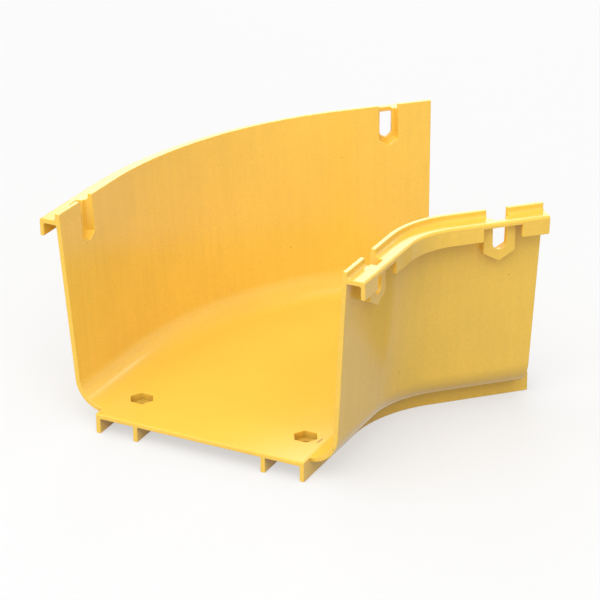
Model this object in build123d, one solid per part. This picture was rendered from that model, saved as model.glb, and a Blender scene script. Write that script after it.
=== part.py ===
# 45 degree horizontal elbow of an open-topped raceway for optical fibre, moulded in one piece.
# Millimetres, +Z up. The elbow stands on the ribs under its floor, and the plane X = 0 halves the bend.
import os
from math import cos, radians, sin, sqrt, tan

from build123d import *

# Channel section
channel_width = 152.4      # between the walls at the rim
channel_depth = 101.6      # floor to rim
wall = 2.5                 # walls and shelf
floor = 2.5
wall_flare = 3.8           # degrees, each wall leans outwards
corner_radius = 14.0       # floor to wall, inside

# Rim along the top of both walls
upstand = 3.5              # rim above the shelf
shelf_reach = 9.2          # shelf beyond the outside of the wall
lip_drop = 9.2             # top of the shelf to the bottom of the lip
lip_wall = 2.2
shelf_root_radius = 1.5    # hollow between upstand and shelf
shelf_edge_radius = 1.2    # outer top edge of the shelf
under_shelf_radius = 0.8   # hollows under the shelf
edge_radius = 0.4          # broken edges of rims and lips

# Ribs under the floor
rib_wall = 2.5
rib_depth = 8.0            # below the floor
outer_rib_width = 115.8    # over the outer pair
inner_rib_width = 73.5     # over the inner pair

# Plan
bend_angle = 45.0          # degrees
bend_radius = 125.5        # at the middle of the channel
leg = 47.0                 # straight wall at each end, along the floor
tongue = 6.5               # floor beyond the end of the walls
end_draft = 1.5            # degrees, the wall ends lean outwards

# Bolts that hold the couplers: their heads drop into the walls and into the floor
wall_bolt_line = 21.8      # from the end of the walls
floor_bolt_line = 18.6     # from the end of the walls
bolt_clear = 7.0           # width of the slots and holes
hex_across = 11.0          # across the flats of the pockets
hex_wall = 2.8             # material round the pockets
bolt_drop = 16.0           # wall bolts below the rim
pocket_depth = 5.3         # inside of the wall to the back of the pocket, at the bolt
lip_gap = 20.0             # length of lip left out beside each wall pocket
seat_depth = 4.0           # floor pockets
seat_base = 2.5            # material below the floor pockets

# Worked out
flare = tan(radians(wall_flare))
level_wall = wall / cos(radians(wall_flare))
half_turn = bend_angle / 2
shelf_top = channel_depth - upstand
shelf_under = shelf_top - wall
lip_bottom = shelf_top - lip_drop
bolt_height = channel_depth - bolt_drop
rib_bottom = -floor - rib_depth
rib_places = [(outer_rib_width - rib_wall) / 2, (inner_rib_width - rib_wall) / 2]
hex_slope = tan(radians(30))
up = Vector(0, 0, 1)


def inner_face(height):
    return channel_width / 2 - (channel_depth - height) * flare


def outer_face(height):
    return inner_face(height) + level_wall


rim_edge = outer_face(shelf_top) + shelf_reach
pocket_back = inner_face(bolt_height) + pocket_depth
boss_face = pocket_back + wall
pocket_tip = bolt_height - hex_across / sqrt(3)
boss_tip = pocket_tip - hex_wall / cos(radians(30))


def rounded(face, rounds):
    # Each round is the corner's place in the section and its radius.
    for place, radius in rounds:
        corner = face.vertices().sort_by_distance(place)[0]
        face = fillet(corner, radius)
    return face


def wall_section():
    # Half of the floor with one wall and its rim, mirrored to the other side.
    floor_corner = (inner_face(0), 0)
    outer_corner = (outer_face(-floor), -floor)
    rim_inside = (inner_face(channel_depth), channel_depth)
    rim_outside = (outer_face(channel_depth), channel_depth)
    shelf_root = (outer_face(shelf_top), shelf_top)
    shelf_edge = (rim_edge, shelf_top)
    lip_outside = (rim_edge, lip_bottom)
    lip_inside = (rim_edge - lip_wall, lip_bottom)
    lip_root = (rim_edge - lip_wall, shelf_under)
    wall_root = (outer_face(shelf_under), shelf_under)
    outline = Polyline(
        (0, 0), floor_corner, rim_inside, rim_outside, shelf_root, shelf_edge,
        lip_outside, lip_inside, lip_root, wall_root, outer_corner, (0, -floor), close=True,
    )
    half = rounded(make_face(outline), [
        (floor_corner, corner_radius),
        (outer_corner, corner_radius + wall),
        (rim_inside, edge_radius),
        (rim_outside, edge_radius),
        (shelf_root, shelf_root_radius),
        (shelf_edge, shelf_edge_radius),
        (lip_outside, edge_radius),
        (lip_inside, edge_radius),
        (lip_root, under_shelf_radius),
        (wall_root, under_shelf_radius),
    ])
    return half + mirror(half, about=Plane.YZ)


def floor_section():
    # Floor as wide as the outer ribs, with the four ribs below it.
    section = Pos(0, -floor / 2) * Rectangle(outer_rib_width, floor)
    rib = Rectangle(rib_wall, rib_depth + floor / 2, align=(Align.CENTER, Align.MIN))
    for place in rib_places:
        section += [Pos(side * place, rib_bottom) * rib for side in (-1, 1)]
    return section


def clear_section():
    # The open space between the walls.
    outline = Polyline(
        (-inner_face(0), 0), (inner_face(0), 0),
        (inner_face(channel_depth), channel_depth), (-inner_face(channel_depth), channel_depth),
        close=True,
    )
    return make_face(outline)


def radial(turn):
    return Vector(sin(radians(turn)), cos(radians(turn)), 0)


def heading(turn):
    return Vector(cos(radians(turn)), -sin(radians(turn)), 0)


def across(turn):
    # Plane of the section, part of the way round the bend: its X points away from the bend's axis.
    return Plane(origin=radial(turn) * bend_radius, x_dir=radial(turn), z_dir=heading(turn))


def make_bend(section):
    return revolve(across(-half_turn) * section, axis=Axis((0, 0, 0), -up), revolution_arc=bend_angle)


def make_run(section, end, length):
    # Straight run beyond the bend, at the end named by +1 or -1.
    turn = end * half_turn
    return extrude(across(turn) * section, amount=length, dir=heading(turn) * end)


def wall_end(end):
    # Plane of the wall ends, which leans outwards.
    turn = end * half_turn
    outwards = heading(turn) * end
    return Plane(
        origin=radial(turn) * bend_radius + outwards * leg,
        z_dir=outwards - up * tan(radians(end_draft)),
    )


def bolt_place(end, side, line):
    # Frame on a bolt line of one end: X out through the wall on that side, Z up from the floor.
    turn = end * half_turn
    origin = radial(turn) * bend_radius + heading(turn) * end * (leg - line)
    return Plane(origin=origin, x_dir=radial(turn) * side, z_dir=up).location


def vee_block(width, tip, top, start, stop):
    # Block across the wall with a point-down bottom that fits a hexagon.
    shoulder = tip + width / 2 * hex_slope
    outline = Polyline(
        (-width / 2, top), (-width / 2, shoulder), (0, tip),
        (width / 2, shoulder), (width / 2, top), close=True,
    )
    return extrude(Plane.YZ.offset(start) * make_face(outline), amount=stop - start)


def wall_boss():
    return vee_block(hex_across + 2 * hex_wall, boss_tip, shelf_top - wall / 2, inner_face(0), boss_face)


def wall_cuts():
    # Pocket for the bolt head, slot for its shank and the gap in the lip in front of them.
    above = channel_depth + wall
    pocket = vee_block(hex_across, pocket_tip, above, inner_face(0), pocket_back)
    slot_side = Rectangle(bolt_clear, above - bolt_height, align=(Align.CENTER, Align.MIN))
    slot_side += Circle(bolt_clear / 2)
    slot = extrude(
        Plane.YZ.offset(pocket_back - wall) * Pos(0, bolt_height) * slot_side,
        amount=boss_face - pocket_back + wall,
    )
    gap = Pos(boss_face, 0, shelf_under) * Box(
        shelf_reach + wall, lip_gap, lip_drop, align=(Align.MIN, Align.CENTER, Align.MAX),
    )
    return [pocket, slot, gap]


def seat_pad():
    # Thick pad between an outer and an inner rib.
    return Pos(sum(rib_places) / 2, 0, -seat_depth - seat_base) * Box(
        rib_places[0] - rib_places[1],
        hex_across + 2 * hex_wall,
        seat_depth + seat_base - floor / 2,
        align=(Align.CENTER, Align.CENTER, Align.MIN),
    )


def seat_cuts():
    # Six-sided seat for a bolt head, corners across the channel, and the hole for its shank.
    middle = sum(rib_places) / 2
    hexagon = RegularPolygon(hex_across / 2, 6, major_radius=False)
    seat = extrude(Pos(middle, 0, -seat_depth) * hexagon, amount=seat_depth + floor)
    hole = Pos(middle, 0, -seat_depth) * Cylinder(bolt_clear / 2, 3 * seat_base)
    return [seat, hole]


def make_elbow():
    walls = wall_section()
    base = floor_section()
    elbow = make_bend(walls) + make_bend(base)
    draft_room = channel_depth * tan(radians(end_draft)) + wall
    for end in (-1, 1):
        elbow += split(make_run(walls, end, leg + draft_room), bisect_by=wall_end(end), keep=Keep.BOTTOM)
        elbow += make_run(base, end, leg + tongue)
        clear = make_run(clear_section(), end, leg)
        for side in (-1, 1):
            elbow += bolt_place(end, side, wall_bolt_line) * wall_boss() - clear
            elbow += bolt_place(end, side, floor_bolt_line) * seat_pad()
    for end in (-1, 1):
        for side in (-1, 1):
            elbow -= [bolt_place(end, side, wall_bolt_line) * cut for cut in wall_cuts()]
            elbow -= [bolt_place(end, side, floor_bolt_line) * cut for cut in seat_cuts()]
    box = elbow.bounding_box()
    return Pos(-box.center().X, -box.center().Y, -box.min.Z) * elbow


os.makedirs("parts", exist_ok=True)
elbow = make_elbow()
export_step(elbow, "parts/raceway_elbow.step")
print("raceway_elbow", len(elbow.solids()), "solid", round(elbow.volume / 1000, 1), "cm3", elbow.bounding_box().size)
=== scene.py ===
from math import cos, pi, radians, sin, tan

import bmesh
import bpy
from mathutils import Matrix, Vector


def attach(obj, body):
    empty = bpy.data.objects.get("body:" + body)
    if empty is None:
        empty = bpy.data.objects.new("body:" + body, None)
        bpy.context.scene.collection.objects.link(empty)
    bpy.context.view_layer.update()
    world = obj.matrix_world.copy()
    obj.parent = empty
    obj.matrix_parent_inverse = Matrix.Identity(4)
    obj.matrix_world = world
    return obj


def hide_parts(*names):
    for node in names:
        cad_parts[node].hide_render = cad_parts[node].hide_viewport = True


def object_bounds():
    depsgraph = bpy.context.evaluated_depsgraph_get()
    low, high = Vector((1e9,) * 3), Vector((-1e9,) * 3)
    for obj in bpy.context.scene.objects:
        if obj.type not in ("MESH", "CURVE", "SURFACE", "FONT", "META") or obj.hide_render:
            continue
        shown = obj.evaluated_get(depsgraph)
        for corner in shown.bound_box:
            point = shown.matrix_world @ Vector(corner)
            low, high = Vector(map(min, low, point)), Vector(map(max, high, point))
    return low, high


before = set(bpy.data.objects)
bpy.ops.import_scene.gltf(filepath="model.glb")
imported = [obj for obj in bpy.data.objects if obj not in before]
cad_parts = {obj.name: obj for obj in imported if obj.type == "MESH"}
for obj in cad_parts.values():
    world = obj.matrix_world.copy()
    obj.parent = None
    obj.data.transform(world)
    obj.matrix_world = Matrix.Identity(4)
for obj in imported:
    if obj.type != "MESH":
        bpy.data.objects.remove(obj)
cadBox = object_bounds()
scene = bpy.context.scene
scene.view_settings.view_transform = "Standard"
mm = 0.001
metre = 1000.0                    # in mm
print("frame loaded, CAD box", [[round(v, 4) for v in corner] for corner in cadBox])


def linear(hexColour):
    # sRGB hex value to a linear colour
    channels = [int(hexColour[i:i + 2], 16) / 255 for i in (1, 3, 5)]
    return [c / 12.92 if c <= 0.04045 else ((c + 0.055) / 1.055) ** 2.4 for c in channels] + [1.0]


def addNode(tree, kind, settings=None, links=None):
    # settings hold a property or an input, links hold an input and the socket that feeds it
    node = tree.nodes.new(kind)
    for name, value in (settings or {}).items():
        if isinstance(name, int) or name in node.inputs:
            node.inputs[name].default_value = value
        else:
            setattr(node, name, value)
    for name, socket in (links or {}).items():
        tree.links.new(socket, node.inputs[name])
    return node


def newMaterial(name):
    material = bpy.data.materials.new(name)
    material.use_nodes = True
    material.node_tree.nodes.clear()
    return material, material.node_tree


# PC/ABS, injection moulded and left as it came from the tool: an even warm yellow with a soft gloss, a fine
# spark-eroded grain, faint draw marks up the walls, slow clouds in the colour, a few burnt specks and one
# scuff;
# the hollows below the floor carry painted shade, darker the more closed in they are
plastic = {
    "colour": "#F6C84E",
    "roughness": 0.2,
    "roughnessSpread": 0.1,
    "ior": 1.52,
    "cloudSize": 38.0,            # mm
    "cloudDepth": 0.03,           # share of the colour
    "drawMarkWidth": 3.5,         # mm
    "drawMarkLength": 300.0,      # mm
    "drawMarkDepth": 0.022,
    "drawMarkFade": (0.2, 0.7),   # how level a face is where the marks start to fade, and where they are gone
    "grainSize": 0.8,             # mm, drawn coarser than the real 0.1 mm so that it shows
    "grainDepth": 0.006,          # mm
    "grainTint": 0.06,
    "waveSize": 30.0,             # mm, slow shrinkage of the flat walls
    "waveDepth": 0.05,            # mm
    "paintedShadeReach": 8.0,           # mm, corners within it get painted shade
    "paintedShadeDepth": 0.5,           # share of the colour that the painted shade takes away
    "paintedShadeOpen": (0.3, 0.9),     # how open a place is where the painted shade is full, and where it is gone
    "paintedShadeFade": 0.5,            # mm below the top of the floor, over which the painted shade fades in
    "speckSpacing": 13.0,         # mm
    "speckSize": 0.45,            # mm
    "speckDepth": 0.75,           # share of the speck colour
    "speckColour": "#8A6418",
    "scuffPlace": (-54.6, -60.3, 10.5),    # mm
    "scuffTurn": 18.0,            # degrees
    "scuffSize": (6.4, 1.4),      # mm
    "scuffDepth": 0.7,            # share of the speck colour
}


def plasticBrightness(tree, coordinates, cloud, grain):
    # clouds, grain and draw marks swing about 0 and are added up, then painted shade darkens the hollows
    place = coordinates.outputs["Object"]

    # draw marks run up the walls and fade on the floor
    width, length = metre / plastic["drawMarkWidth"], metre / plastic["drawMarkLength"]
    stretched = addNode(tree, "ShaderNodeMapping", {"Scale": (width, width, length)}, {"Vector": place})
    marks = addNode(tree, "ShaderNodeTexNoise", {"Scale": 1.0, "Detail": 1.0}, {"Vector": stretched.outputs[0]})
    facing = addNode(tree, "ShaderNodeSeparateXYZ", {}, {0: coordinates.outputs["Normal"]})
    level = addNode(tree, "ShaderNodeMath", {"operation": "ABSOLUTE"}, {0: facing.outputs["Z"]})
    full, gone = plastic["drawMarkFade"]
    upright = addNode(tree, "ShaderNodeMapRange", {
        "From Min": full, "From Max": gone, "To Min": 1.0, "To Max": 0.0}, {0: level.outputs[0]})

    brightness = None
    for pattern, depth, where in (
        (cloud, plastic["cloudDepth"], None),
        (grain, plastic["grainTint"], None),
        (marks, plastic["drawMarkDepth"], upright),
    ):
        # most of a noise lies between a quarter and three quarters
        swing = addNode(tree, "ShaderNodeMapRange", {
            "From Min": 0.25, "From Max": 0.75, "To Min": -depth, "To Max": depth}, {
            0: pattern.outputs[0]}).outputs[0]
        if where:
            swing = addNode(tree, "ShaderNodeMath", {"operation": "MULTIPLY"}, {
                0: swing, 1: where.outputs[0]}).outputs[0]
        if brightness:
            swing = addNode(tree, "ShaderNodeMath", {"operation": "ADD"}, {0: swing, 1: brightness}).outputs[0]
        brightness = swing
    brightness = addNode(tree, "ShaderNodeMath", {"operation": "ADD", 1: 1.0}, {0: brightness}).outputs[0]

    # painted shade: the bolt seats and the corners of the ribs, all below the floor, are darkened in the colour
    # by ambient occlusion
    full, gone = plastic["paintedShadeOpen"]
    shadeOcclusion = addNode(tree, "ShaderNodeAmbientOcclusion", {
        "only_local": True, "Distance": plastic["paintedShadeReach"] * mm})
    paintedShadeAmount = addNode(tree, "ShaderNodeMapRange", {
        "From Min": full, "From Max": gone, "To Min": plastic["paintedShadeDepth"], "To Max": 0.0}, {
        0: shadeOcclusion.outputs["AO"]})
    floorTop = (elbow["ribDepth"] + elbow["wall"]) * mm
    height = addNode(tree, "ShaderNodeSeparateXYZ", {}, {0: place})
    below = addNode(tree, "ShaderNodeMapRange", {
        "From Min": floorTop - plastic["paintedShadeFade"] * mm, "From Max": floorTop,
        "To Min": 1.0, "To Max": 0.0}, {0: height.outputs["Z"]})
    paintedShadeBelowFloor = addNode(tree, "ShaderNodeMath", {"operation": "MULTIPLY"}, {
        0: paintedShadeAmount.outputs[0], 1: below.outputs[0]})
    leftAfterShade = addNode(tree, "ShaderNodeMath", {"operation": "SUBTRACT", 0: 1.0}, {1: paintedShadeBelowFloor.outputs[0]})
    return addNode(tree, "ShaderNodeMath", {"operation": "MULTIPLY"}, {
        0: brightness, 1: leftAfterShade.outputs[0]}).outputs[0]


def plasticMarks(tree, place):
    # burnt specks, where the surface cuts one of the cells' middles
    cells = addNode(tree, "ShaderNodeTexVoronoi", {"Scale": metre / plastic["speckSpacing"]}, {"Vector": place})
    edge = plastic["speckSize"] / plastic["speckSpacing"]
    speck = addNode(tree, "ShaderNodeMapRange", {
        "From Min": edge / 2, "From Max": edge, "To Min": plastic["speckDepth"], "To Max": 0.0}, {
        0: cells.outputs["Distance"]})

    # one scuff on the floor, beside a bolt seat
    length, width = plastic["scuffSize"]
    framed = addNode(tree, "ShaderNodeMapping", {
        "vector_type": "TEXTURE",
        "Location": [value * mm for value in plastic["scuffPlace"]],
        "Rotation": (0, 0, radians(plastic["scuffTurn"])),
        "Scale": (length / 2 * mm, width / 2 * mm, mm)}, {"Vector": place})
    away = addNode(tree, "ShaderNodeVectorMath", {"operation": "ABSOLUTE"}, {0: framed.outputs[0]})
    sides = addNode(tree, "ShaderNodeSeparateXYZ", {}, {0: away.outputs[0]})
    reach = sides.outputs["X"]
    for axis in ("Y", "Z"):
        reach = addNode(tree, "ShaderNodeMath", {"operation": "MAXIMUM"}, {
            0: reach, 1: sides.outputs[axis]}).outputs[0]
    # it fades over the outer half of its size
    scuff = addNode(tree, "ShaderNodeMapRange", {
        "From Min": 0.5, "From Max": 1.0, "To Min": plastic["scuffDepth"], "To Max": 0.0}, {0: reach})
    return addNode(tree, "ShaderNodeMath", {"operation": "MAXIMUM"}, {
        0: speck.outputs[0], 1: scuff.outputs[0]}).outputs[0]


def makePlastic():
    material, tree = newMaterial("mouldedYellowPcAbs")
    coordinates = addNode(tree, "ShaderNodeTexCoord")
    place = coordinates.outputs["Object"]
    cloud, grain, wave = [
        addNode(tree, "ShaderNodeTexNoise", {"Scale": metre / plastic[size], "Detail": detail}, {
            "Vector": place})
        for size, detail in (("cloudSize", 2.0), ("grainSize", 2.0), ("waveSize", 1.0))
    ]
    brightness = plasticBrightness(tree, coordinates, cloud, grain)
    shaded = addNode(tree, "ShaderNodeVectorMath", {
        "operation": "SCALE", 0: linear(plastic["colour"])[:3]}, {"Scale": brightness})
    # inputs 6 and 7 are the two colours of the mix, and output 2 is its colour
    colour = addNode(tree, "ShaderNodeMix", {"data_type": "RGBA", 7: linear(plastic["speckColour"])}, {
        0: plasticMarks(tree, place), 6: shaded.outputs[0]})

    # the grain breaks up the gloss too
    roughness = addNode(tree, "ShaderNodeMapRange", {
        "From Min": 0.3, "From Max": 0.7,
        "To Min": plastic["roughness"] - plastic["roughnessSpread"] / 2,
        "To Max": plastic["roughness"] + plastic["roughnessSpread"] / 2}, {0: grain.outputs[0]})
    waved = addNode(tree, "ShaderNodeBump", {"Strength": 1.0, "Distance": plastic["waveDepth"] * mm}, {
        "Height": wave.outputs[0]})
    grained = addNode(tree, "ShaderNodeBump", {"Strength": 1.0, "Distance": plastic["grainDepth"] * mm}, {
        "Height": grain.outputs[0], "Normal": waved.outputs[0]})
    shader = addNode(tree, "ShaderNodeBsdfPrincipled", {"IOR": plastic["ior"]}, {
        "Base Color": colour.outputs[2], "Roughness": roughness.outputs[0], "Normal": grained.outputs[0]})
    addNode(tree, "ShaderNodeOutputMaterial", {}, {"Surface": shader.outputs[0]})
    return material


# The elbow's sizes in millimetres, as in the solid, with the steps and rounds of the mesh
elbow = {
    "channelWidth": 152.4,
    "channelDepth": 101.6,
    "wall": 2.5,
    "wallFlare": 3.8,             # degrees
    "cornerRadius": 14.0,
    "cornerSteps": (10, 12),      # inside and outside
    "upstand": 3.5,
    "shelfReach": 9.2,
    "shelfRootRadius": 1.5,
    "shelfEdgeRadius": 1.2,
    "shelfSteps": 4,
    "underShelfRadius": 0.8,
    "rimRadius": 0.4,
    "rimSteps": 3,
    "lipDrop": 9.2,
    "lipWall": 2.2,
    "ribDepth": 8.0,
    "ribWall": 2.5,
    "ribFaces": (57.9, 36.75),    # outside of the outer and inner pair, from the middle
    "ribMargin": 0.8,             # least gap between rib and outer corner, so that no sliver stands there
    "bendRadius": 125.5,
    "bendAngle": 45.0,            # degrees
    "bendSteps": 54,
    "leg": 47.0,
    "tongue": 6.5,
    "endDraft": 1.5,              # degrees
    "wallBoltLine": 21.8,
    "floorBoltLine": 18.6,
    "boltDrop": 16.0,
    "boltClear": 7.0,
    "boltSteps": 40,              # sides of a round slot or hole
    "hexAcross": 11.0,
    "hexWall": 2.8,
    "pocketDepth": 5.3,
    "slotMargin": 0.6,            # slots run on past the boss, so that no cuts share a plane
    "lipGap": 20.0,
    "lipGapMargin": 1.2,          # and lip gaps start further out
    "seatDepth": 4.0,
    "seatBase": 2.5,
    "mergeReach": 0.06,
    "sharpAngle": 40.0,           # degrees, edges past it are rounded
    "flatAngle": 2.0,             # degrees, faces within it are one
    "edgeRound": 0.35,            # moulded edges are never sharp
    "tongueRound": 0.8,
    "roundSteps": 3,
}


def innerFace(height):
    # inside of a wall, from the middle of the channel
    return elbow["channelWidth"] / 2 - (elbow["channelDepth"] - height) * tan(radians(elbow["wallFlare"]))


def outerFace(height):
    return innerFace(height) + elbow["wall"] / cos(radians(elbow["wallFlare"]))


def roundedOutline(corners):
    # each corner is its two places, its radius and the steps of its arc
    outline = []
    for i, (x, y, radius, steps) in enumerate(corners):
        here = Vector((x, y))
        if radius == 0:
            outline.append(here)
            continue
        before = (Vector(corners[i - 1][:2]) - here).normalized()
        after = (Vector(corners[(i + 1) % len(corners)][:2]) - here).normalized()
        half = before.angle(after) / 2
        middle = here + (before + after).normalized() * radius / sin(half)
        start = here + before * radius / tan(half) - middle
        sweep = start.angle_signed(here + after * radius / tan(half) - middle)
        outline += [middle + Matrix.Rotation(-sweep * step / steps, 2) @ start for step in range(steps + 1)]
    return outline


def channelSection():
    # one half from the floor out over the wall and rim and back under the floor, then its mirror image
    wall, depth, radius = elbow["wall"], elbow["channelDepth"], elbow["cornerRadius"]
    shelfTop = depth - elbow["upstand"]
    shelfUnder, lipBottom = shelfTop - wall, shelfTop - elbow["lipDrop"]
    rimEdge = outerFace(shelfTop) + elbow["shelfReach"]
    lipInside = rimEdge - elbow["lipWall"]
    inside, outside = elbow["cornerSteps"]
    rim = elbow["rimRadius"], elbow["rimSteps"]
    underShelf = elbow["underShelfRadius"], elbow["rimSteps"]
    half = roundedOutline([
        (0, 0, 0, 0),
        (innerFace(0), 0, radius, inside),
        (innerFace(depth), depth, *rim),
        (outerFace(depth), depth, *rim),
        (outerFace(shelfTop), shelfTop, elbow["shelfRootRadius"], elbow["shelfSteps"]),
        (rimEdge, shelfTop, elbow["shelfEdgeRadius"], elbow["shelfSteps"]),
        (rimEdge, lipBottom, *rim),
        (lipInside, lipBottom, *rim),
        (lipInside, shelfUnder, *underShelf),
        (outerFace(shelfUnder), shelfUnder, *underShelf),
        (outerFace(-wall), -wall, radius + wall, outside),
        (0, -wall, 0, 0),
    ])[1:-1]
    outerRib, innerRib = elbow["ribFaces"]
    half = [point for point in half if point.x > outerRib + elbow["ribMargin"] or point.y > -wall / 2]
    foot, width = -wall - elbow["ribDepth"], elbow["ribWall"]
    for rib in (outerRib, innerRib):
        half += [Vector(place) for place in (
            (rib, -wall), (rib, foot), (rib - width, foot), (rib - width, -wall))]
    return half + [Vector((-point.x, point.y)) for point in reversed(half)]


def boltTools():
    # what is added and cut at each end of the sweep, on the line that it stands on
    depth, wall, across = elbow["channelDepth"], elbow["wall"], elbow["hexAcross"]
    shelfTop = depth - elbow["upstand"]
    bolt, above = depth - elbow["boltDrop"], depth + wall
    pocketBack = innerFace(bolt) + elbow["pocketDepth"]
    bossFace = pocketBack + wall
    bossAcross = across + 2 * elbow["hexWall"]
    ribs = [face - elbow["ribWall"] / 2 for face in elbow["ribFaces"]]
    seat, seatDepth = sum(ribs) / 2, elbow["seatDepth"]
    padBottom = -seatDepth - elbow["seatBase"]
    holeReach = 1.0               # mm past both faces of the seat's base
    blockSize = 70.0              # mm, clears a wall, and its height is several times that
    lean = -radians(elbow["endDraft"])

    def box(line, adds, x0, x1, width, z0, z1):
        return {"line": line, "adds": adds, "sides": 0, "turn": (0, 0, 0), "rise": 0, "twin": True,
                "size": (x1 - x0, width, z1 - z0), "place": ((x0 + x1) / 2, 0, (z0 + z1) / 2)}

    def vee(adds, sides, x0, x1, width, top):
        # lies across the wall with its lower half round the bolt, and its upper half drawn up to the top
        radius = width / 2 / cos(pi / 6) if sides == 6 else width / 2
        return {"line": "wall", "adds": adds, "sides": sides, "turn": (0, pi / 2, 0), "twin": True,
                "rise": (top - bolt) / radius, "size": (radius, radius, x1 - x0),
                "place": ((x0 + x1) / 2, 0, bolt)}

    def post(sides, radius, z0, z1):
        return {"line": "floor", "adds": False, "sides": sides, "turn": (0, 0, 0), "rise": 0, "twin": True,
                "size": (radius, radius, z1 - z0), "place": (seat, 0, (z0 + z1) / 2)}

    def endBlock(side):
        # leans with the wall ends, and stops at the side of the tongue
        half = blockSize / 2
        place = side * (elbow["ribFaces"][0] + half), half * cos(lean), half * sin(lean)
        return {"line": "end", "adds": False, "sides": 0, "turn": (lean, 0, 0), "rise": 0, "twin": False,
                "size": (blockSize, blockSize, 6 * blockSize), "place": place}

    return {
        "Boss": vee(True, 6, innerFace(depth), bossFace, bossAcross, shelfTop - wall / 2),
        "Seat Pad": box("floor", True, ribs[1], ribs[0], bossAcross, padBottom, -wall / 2),
        "Pocket": vee(False, 6, innerFace(0), pocketBack, across, above),
        "Slot": vee(False, elbow["boltSteps"], pocketBack - wall, bossFace + elbow["slotMargin"],
                    elbow["boltClear"], above),
        "Lip Gap": box("wall", False, bossFace + elbow["lipGapMargin"], bossFace + elbow["shelfReach"],
                       elbow["lipGap"], shelfTop - wall - elbow["lipDrop"], shelfTop - wall),
        "Bolt Seat": post(6, across / 2 / cos(pi / 6), -seatDepth, wall),
        "Bolt Hole": post(elbow["boltSteps"], elbow["boltClear"] / 2, padBottom - holeReach,
                          -seatDepth + holeReach),
        "Outer Wall End": endBlock(1),
        "Inner Wall End": endBlock(-1),
    }


def bentPath(tree, given, index):
    # along runs from 0 to 1 round the bend and one step past it at each end
    count = addNode(tree, "ShaderNodeMath", {"operation": "ADD", 1: 3}, {0: given["Bend Steps"]}).outputs[0]
    step = addNode(tree, "ShaderNodeMath", {"operation": "SUBTRACT", 1: 1}, {0: index}).outputs[0]
    along = addNode(tree, "ShaderNodeMath", {"operation": "DIVIDE"}, {
        0: step, 1: given["Bend Steps"]}).outputs[0]
    inBend = addNode(tree, "ShaderNodeClamp", {}, {0: along}).outputs[0]
    beyond = addNode(tree, "ShaderNodeMath", {"operation": "SUBTRACT"}, {0: along, 1: inBend}).outputs[0]
    for factor in ("Bend Steps", "Straight"):
        beyond = addNode(tree, "ShaderNodeMath", {"operation": "MULTIPLY"}, {
            0: beyond, 1: given[factor]}).outputs[0]
    turn = addNode(tree, "ShaderNodeMath", {"operation": "SUBTRACT", 1: 0.5}, {0: inBend}).outputs[0]
    turn = addNode(tree, "ShaderNodeMath", {"operation": "MULTIPLY"}, {
        0: turn, 1: given["Bend Angle"]}).outputs[0]
    sine = addNode(tree, "ShaderNodeMath", {"operation": "SINE"}, {0: turn}).outputs[0]
    cosine = addNode(tree, "ShaderNodeMath", {"operation": "COSINE"}, {0: turn}).outputs[0]
    fall = addNode(tree, "ShaderNodeMath", {"operation": "MULTIPLY", 1: -1}, {0: sine}).outputs[0]
    radial = addNode(tree, "ShaderNodeCombineXYZ", {}, {"X": sine, "Y": cosine}).outputs[0]
    heading = addNode(tree, "ShaderNodeCombineXYZ", {}, {"X": cosine, "Y": fall}).outputs[0]
    onArc = addNode(tree, "ShaderNodeVectorMath", {"operation": "SCALE"}, {
        0: radial, "Scale": given["Bend Radius"]})
    past = addNode(tree, "ShaderNodeVectorMath", {"operation": "SCALE"}, {0: heading, "Scale": beyond})
    place = addNode(tree, "ShaderNodeVectorMath", {"operation": "ADD"}, {
        0: onArc.outputs[0], 1: past.outputs[0]})
    line = addNode(tree, "GeometryNodeMeshLine", {}, {"Count": count})
    line = addNode(tree, "GeometryNodeSetPosition", {}, {0: line.outputs[0], "Position": place.outputs[0]})
    path = addNode(tree, "GeometryNodeMeshToCurve", {}, {0: line.outputs[0]})
    return addNode(tree, "GeometryNodeSetCurveNormal", {"mode": "Z_UP"}, {0: path.outputs[0]}).outputs[0]


def boltLines(tree, given, index, path):
    # a point at each end of the path for every line, turned so that Y points out of the channel
    length = addNode(tree, "GeometryNodeCurveLength", {}, {0: path}).outputs[0]
    sign = addNode(tree, "ShaderNodeMath", {"operation": "MULTIPLY_ADD", 1: 2, 2: -1}, {0: index}).outputs[0]
    lines = {}
    for name in ("wall", "floor", "end"):
        start = given[name.title() + " Line"]
        stop = addNode(tree, "ShaderNodeMath", {"operation": "SUBTRACT"}, {0: length, 1: start}).outputs[0]
        # inputs 4 and 5 are the start and end lengths
        trimmed = addNode(tree, "GeometryNodeTrimCurve", {"mode": "LENGTH"}, {
            0: path, 4: start, 5: stop}).outputs[0]
        points = addNode(tree, "GeometryNodeCurveToPoints", {"Count": 2}, {0: trimmed})
        outwards = addNode(tree, "ShaderNodeVectorMath", {"operation": "SCALE"}, {
            0: points.outputs["Tangent"], "Scale": sign})
        turned = addNode(tree, "FunctionNodeAlignRotationToVector", {"axis": "Y", "pivot_axis": "Z"}, {
            "Vector": outwards.outputs[0]})
        lines[name] = points.outputs[0], turned.outputs[0]
    return lines


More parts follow.
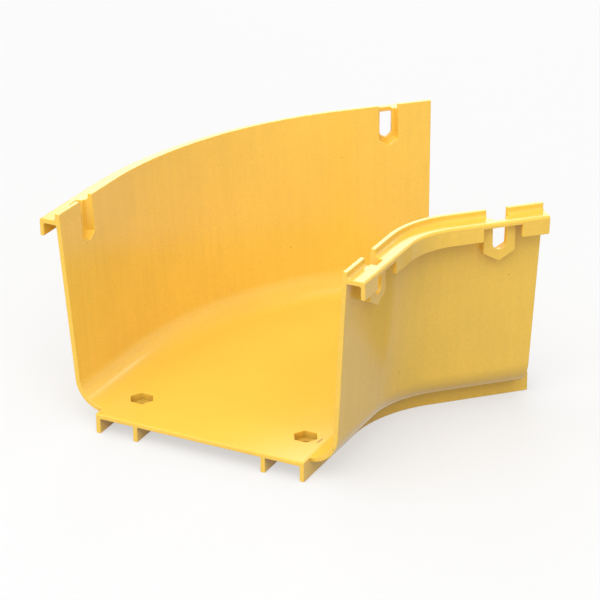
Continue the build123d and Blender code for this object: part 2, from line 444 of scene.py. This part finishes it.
def boltTool(tree, given, at, name, tool):
    # one tool with its twin across the channel, made from a blank of radius or side 1
    if tool["sides"]:
        blank = addNode(tree, "GeometryNodeMeshCylinder", {
            "Vertices": tool["sides"], "Radius": 1.0, "Depth": 1.0})
    else:
        blank = addNode(tree, "GeometryNodeMeshCube", {"Size": (1, 1, 1)})
    if tool["rise"]:
        # the half towards -X turns to the top
        upper = addNode(tree, "FunctionNodeCompare", {"operation": "LESS_THAN", "B": -0.01}, {
            "A": at.outputs["X"]})
        side = addNode(tree, "ShaderNodeMath", {"operation": "SIGN"}, {0: at.outputs["Y"]})
        halfWidth = cos(pi / 6) if tool["sides"] == 6 else 1.0
        edge = addNode(tree, "ShaderNodeMath", {"operation": "MULTIPLY", 1: halfWidth}, {0: side.outputs[0]})
        drawn = addNode(tree, "ShaderNodeCombineXYZ", {"X": -tool["rise"]}, {
            "Y": edge.outputs[0], "Z": at.outputs["Z"]})
        blank = addNode(tree, "GeometryNodeSetPosition", {}, {
            0: blank.outputs[0], "Selection": upper.outputs[0], "Position": drawn.outputs[0]})
        blank = addNode(tree, "GeometryNodeMergeByDistance", {"Distance": 0.001}, {0: blank.outputs[0]})
    sized = addNode(tree, "GeometryNodeTransform", {"Rotation": tool["turn"]}, {
        0: blank.outputs[0], "Scale": given[name + " Size"], "Translation": given[name + " Place"]}).outputs[0]
    if not tool["twin"]:
        return sized
    other = addNode(tree, "GeometryNodeTransform", {"Rotation": (0, 0, pi)}, {0: sized}).outputs[0]
    pair = addNode(tree, "GeometryNodeJoinGeometry", {}, {0: sized})
    tree.links.new(other, pair.inputs[0])
    return pair.outputs[0]


def elbowTree(tools, sizes, material):
    # the section follows the path, then the bolt places at both ends are added and cut
    tree = bpy.data.node_groups.new("sweptElbow", "GeometryNodeTree")
    tree.interface.new_socket("Section", in_out="INPUT", socket_type="NodeSocketGeometry")
    tree.interface.new_socket("Elbow", in_out="OUTPUT", socket_type="NodeSocketGeometry")
    for name, value in sizes.items():
        kind = {int: "NodeSocketInt", float: "NodeSocketFloat", tuple: "NodeSocketVector"}[type(value)]
        tree.interface.new_socket(name, in_out="INPUT", socket_type=kind)
    given = addNode(tree, "NodeGroupInput").outputs
    index = addNode(tree, "GeometryNodeInputIndex").outputs[0]
    path = bentPath(tree, given, index)
    section = addNode(tree, "GeometryNodeMeshToCurve", {}, {0: given["Section"]}).outputs[0]
    swept = addNode(tree, "GeometryNodeCurveToMesh", {"Fill Caps": True}, {0: path, 1: section}).outputs[0]

    lines = boltLines(tree, given, index, path)
    position = addNode(tree, "GeometryNodeInputPosition")
    at = addNode(tree, "ShaderNodeSeparateXYZ", {}, {0: position.outputs[0]})
    joined = addNode(tree, "GeometryNodeMeshBoolean", {"operation": "UNION", "solver": "MANIFOLD"}, {1: swept})
    cut = addNode(tree, "GeometryNodeMeshBoolean", {"operation": "DIFFERENCE", "solver": "MANIFOLD"}, {
        0: joined.outputs[0]})
    for name, tool in tools.items():
        points, turned = lines[tool["line"]]
        placed = addNode(tree, "GeometryNodeInstanceOnPoints", {}, {
            0: points, "Instance": boltTool(tree, given, at, name, tool), "Rotation": turned})
        placed = addNode(tree, "GeometryNodeRealizeInstances", {}, {0: placed.outputs[0]})
        tree.links.new(placed.outputs[0], (joined if tool["adds"] else cut).inputs[1])
    whole = addNode(tree, "GeometryNodeRealizeInstances", {}, {0: cut.outputs[0]})
    coloured = addNode(tree, "GeometryNodeSetMaterial", {"Material": material}, {0: whole.outputs[0]})
    addNode(tree, "NodeGroupOutput", {}, {0: coloured.outputs[0]})
    return tree


def plainMesh(piece):
    # what the modifiers give, as a mesh of its own
    graph = bpy.context.evaluated_depsgraph_get()
    mesh = bpy.data.meshes.new_from_object(
        piece.evaluated_get(graph), preserve_all_data_layers=True, depsgraph=graph)
    piece.modifiers.clear()
    piece.data = mesh


def makeElbow(material):
    outline = channelSection()
    mesh = bpy.data.meshes.new("racewayElbow")
    # the sweep turns the section half round, so it starts upside down
    mesh.from_pydata([(-x * mm, -y * mm, 0) for x, y in reversed(outline)],
                     [(i, (i + 1) % len(outline)) for i in range(len(outline))], [])
    piece = bpy.data.objects.new("racewayElbow", mesh)
    scene.collection.objects.link(piece)
    tools = boltTools()
    sizes = {
        "Bend Steps": elbow["bendSteps"],
        "Bend Angle": radians(elbow["bendAngle"]),
        "Bend Radius": elbow["bendRadius"] * mm,
        "Straight": (elbow["leg"] + elbow["tongue"]) * mm,
        "Wall Line": (elbow["tongue"] + elbow["wallBoltLine"]) * mm,
        "Floor Line": (elbow["tongue"] + elbow["floorBoltLine"]) * mm,
        "End Line": elbow["tongue"] * mm,
    }
    for name, tool in tools.items():
        sizes[name + " Size"] = tuple(value * mm for value in tool["size"])
        sizes[name + " Place"] = tuple(value * mm for value in tool["place"])
    modifier = piece.modifiers.new("sweptElbow", "NODES")
    modifier.node_group = elbowTree(tools, sizes, material)
    for socket in modifier.node_group.interface.items_tree:
        if socket.in_out == "INPUT" and socket.name in sizes:
            modifier[socket.identifier] = sizes[socket.name]
    plainMesh(piece)
    return piece


def roundEdges(piece):
    # a small round on every edge that the section hasn't rounded, and a larger one along the tongue fronts
    turn = radians(elbow["bendAngle"] / 2)
    front = (elbow["leg"] + elbow["tongue"]) * mm
    wallEnd = (elbow["leg"] - 0.5) * mm    # a little inside it
    near = 0.1 * mm

    def along(place):
        return abs(place.x) * cos(turn) - place.y * sin(turn)

    def across(place):
        return abs(abs(place.x) * sin(turn) + place.y * cos(turn) - elbow["bendRadius"] * mm)

    def onTongueSide(place):
        return along(place) > wallEnd and abs(across(place) - elbow["ribFaces"][0] * mm) < near

    def onTongueFront(place):
        return along(place) > front - near and abs(place.z) < 2 * near

    shape = bmesh.new()
    shape.from_mesh(piece.data)
    bmesh.ops.remove_doubles(shape, verts=shape.verts, dist=elbow["mergeReach"] * mm)
    # the sides of a tongue are one face each with the rib below
    flat = [edge for edge in shape.edges if edge.calc_face_angle(0) < radians(elbow["flatAngle"])
            and all(onTongueSide(corner.co) for corner in edge.verts)]
    bmesh.ops.dissolve_edges(shape, edges=flat, use_verts=True)
    weight = shape.edges.layers.float.new("bevel_weight_edge")
    for edge in shape.edges:
        if edge.calc_face_angle(0) > radians(elbow["sharpAngle"]):
            large = all(onTongueFront(corner.co) for corner in edge.verts)
            edge[weight] = 1.0 if large else elbow["edgeRound"] / elbow["tongueRound"]
    for face in shape.faces:
        face.smooth = True
    shape.to_mesh(piece.data)
    shape.free()
    bevel = piece.modifiers.new("edgeRound", "BEVEL")
    bevel.width = elbow["tongueRound"] * mm
    bevel.segments = elbow["roundSteps"]
    bevel.limit_method = "WEIGHT"
    bevel.use_clamp_overlap = False
    piece.modifiers.new("evenShading", "WEIGHTED_NORMAL").weight = 90    # large faces stay flat
    plainMesh(piece)


def standOnFrame(piece):
    # the sweep is drawn about the bend's axis, and the solid about the middle of its box
    places = [vertex.co for vertex in piece.data.vertices]
    low, high = [[limit(place[axis] for place in places) for axis in range(3)] for limit in (min, max)]
    shift = [(cadBox[0][axis] + cadBox[1][axis] - low[axis] - high[axis]) / 2 for axis in range(3)]
    piece.data.transform(Matrix.Translation(shift))


yellowPlastic = makePlastic()
racewayElbow = makeElbow(yellowPlastic)
roundEdges(racewayElbow)
standOnFrame(racewayElbow)
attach(racewayElbow, "root")
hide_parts("raceway_elbow")
triangles = sum(len(face.vertices) - 2 for face in racewayElbow.data.polygons)
print("elbow swept,", len(racewayElbow.data.polygons), "faces,", triangles, "triangles")


# White studio: the floor runs on as the backdrop, and the light comes from large soft boxes
studio = {
    "floorSize": 6.0,             # metres
    "floorColour": "#9C9C9C",
    "floorGlow": 0.56,            # lifts the floor to white where it is looked at, and keeps the shadow
    "background": 1.0,
    "ceiling": 0.35,
    "ceilingFade": (0.4, 0.75),   # height of the view between the two
    "ambient": 0.77,
    "ambientSide": (268, 0.9),    # azimuth that the room is brighter on, and by what share
    "aim": (0.0, 0.0, 0.05),
    "lamps": {
        # name: azimuth and elevation in degrees, distance, width and height in metres, watts
        "keyBox": (228, 50, 1.6, 2.0, 0.8, 12.0),
        "topBox": (0, 90, 1.6, 1.4, 1.4, 5.2),
        "rimBox": (40, 27, 1.6, 0.6, 0.6, 3.2),
        "stripBox": (85, 29, 1.6, 0.5, 0.25, 1.3),
    },
}


def seenRays(tree):
    # 1 for the rays that look at a surface, 0 for those that only carry light
    lightPath = addNode(tree, "ShaderNodeLightPath")
    seen = lightPath.outputs["Is Camera Ray"]
    for name in ("Is Glossy Ray", "Is Transmission Ray"):
        seen = addNode(tree, "ShaderNodeMath", {"operation": "MAXIMUM"}, {
            0: seen, 1: lightPath.outputs[name]}).outputs[0]
    return seen


def makeFloor():
    half = studio["floorSize"] / 2
    mesh = bpy.data.meshes.new("floor")
    corners = [(-half, -half, 0), (half, -half, 0), (half, half, 0), (-half, half, 0)]
    mesh.from_pydata(corners, [], [(0, 1, 2, 3)])
    floor = bpy.data.objects.new("floor", mesh)
    scene.collection.objects.link(floor)
    material, tree = newMaterial("whitePaperSweep")
    paper = addNode(tree, "ShaderNodeBsdfDiffuse", {"Color": linear(studio["floorColour"])})
    glow = addNode(tree, "ShaderNodeEmission", {"Strength": studio["floorGlow"]})
    lifted = addNode(tree, "ShaderNodeAddShader", {}, {0: paper.outputs[0], 1: glow.outputs[0]})
    mix = addNode(tree, "ShaderNodeMixShader", {}, {
        0: seenRays(tree), 1: paper.outputs[0], 2: lifted.outputs[0]})
    # seen from below the paper is clear, so that the ribs can be looked at
    back = addNode(tree, "ShaderNodeNewGeometry").outputs["Backfacing"]
    clear = addNode(tree, "ShaderNodeBsdfTransparent")
    oneSided = addNode(tree, "ShaderNodeMixShader", {}, {0: back, 1: mix.outputs[0], 2: clear.outputs[0]})
    addNode(tree, "ShaderNodeOutputMaterial", {}, {"Surface": oneSided.outputs[0]})
    mesh.materials.append(material)


def makeWorld():
    # white round the horizon and dimmer overhead, where it is seen or mirrored
    world = bpy.data.worlds.new("whiteStudio")
    world.use_nodes = True
    tree = world.node_tree
    tree.nodes.clear()
    direction = addNode(tree, "ShaderNodeTexCoord").outputs["Generated"]
    height = addNode(tree, "ShaderNodeSeparateXYZ", {}, {0: direction})
    low, high = studio["ceilingFade"]
    fade = addNode(tree, "ShaderNodeMapRange", {
        "interpolation_type": "SMOOTHSTEP", "From Min": low, "From Max": high,
        "To Min": studio["background"], "To Max": studio["ceiling"]}, {0: height.outputs["Z"]})

    # the light that falls on things is stronger from one side
    azimuth, share = studio["ambientSide"]
    brightSide = (sin(radians(azimuth)), cos(radians(azimuth)), 0)
    side = addNode(tree, "ShaderNodeVectorMath", {"operation": "DOT_PRODUCT", 1: brightSide}, {0: direction})
    soft = addNode(tree, "ShaderNodeMath", {
        "operation": "MULTIPLY_ADD", 1: studio["ambient"] * share, 2: studio["ambient"]}, {
        0: side.outputs["Value"]})
    ambient = addNode(tree, "ShaderNodeBackground", {"Color": (1, 1, 1, 1)}, {"Strength": soft.outputs[0]})
    white = addNode(tree, "ShaderNodeBackground", {"Color": (1, 1, 1, 1)}, {"Strength": fade.outputs[0]})
    mix = addNode(tree, "ShaderNodeMixShader", {}, {
        0: seenRays(tree), 1: ambient.outputs[0], 2: white.outputs[0]})
    addNode(tree, "ShaderNodeOutputWorld", {}, {"Surface": mix.outputs[0]})
    scene.world = world


def makeLamps():
    aim = Vector(studio["aim"])
    for name, (azimuth, elevation, distance, width, height, watts) in studio["lamps"].items():
        turn, rise = radians(azimuth), radians(elevation)
        towards = Vector((sin(turn) * cos(rise), cos(turn) * cos(rise), sin(rise)))
        lamp = bpy.data.lights.new(name, "AREA")
        lamp.shape = "RECTANGLE"
        lamp.size = width
        lamp.size_y = height
        lamp.energy = watts
        box = bpy.data.objects.new(name, lamp)
        box.location = aim + towards * distance
        box.rotation_mode = "QUATERNION"
        box.rotation_quaternion = towards.to_track_quat("Z", "Y")
        scene.collection.objects.link(box)


makeFloor()
makeWorld()
makeLamps()
print("studio lit by", ", ".join(studio["lamps"]))


# Where the photograph was taken from
camera = {
    "aim": (-10.9, 5.5, 49.7),    # mm
    "distance": 1242.6,           # mm
    "azimuth": -40.26,            # degrees, 0 looks along +Y
    "elevation": 24.49,
    "roll": -0.37,
    "lens": 147.2,                # mm
    "sensor": 36.0,               # mm
}


def makeCamera():
    turn = (
        Matrix.Rotation(radians(camera["azimuth"]), 4, "Z")
        @ Matrix.Rotation(radians(90 - camera["elevation"]), 4, "X")
        @ Matrix.Rotation(radians(camera["roll"]), 4, "Z")
    )
    back = turn.to_3x3() @ Vector((0, 0, camera["distance"] * mm))
    lens = bpy.data.cameras.new("camera")
    lens.lens = camera["lens"]
    lens.sensor_width = camera["sensor"]
    taker = bpy.data.objects.new("camera", lens)
    taker.matrix_world = Matrix.Translation(Vector(camera["aim"]) * mm + back) @ turn
    scene.collection.objects.link(taker)
    scene.camera = taker


makeCamera()
print("camera set")
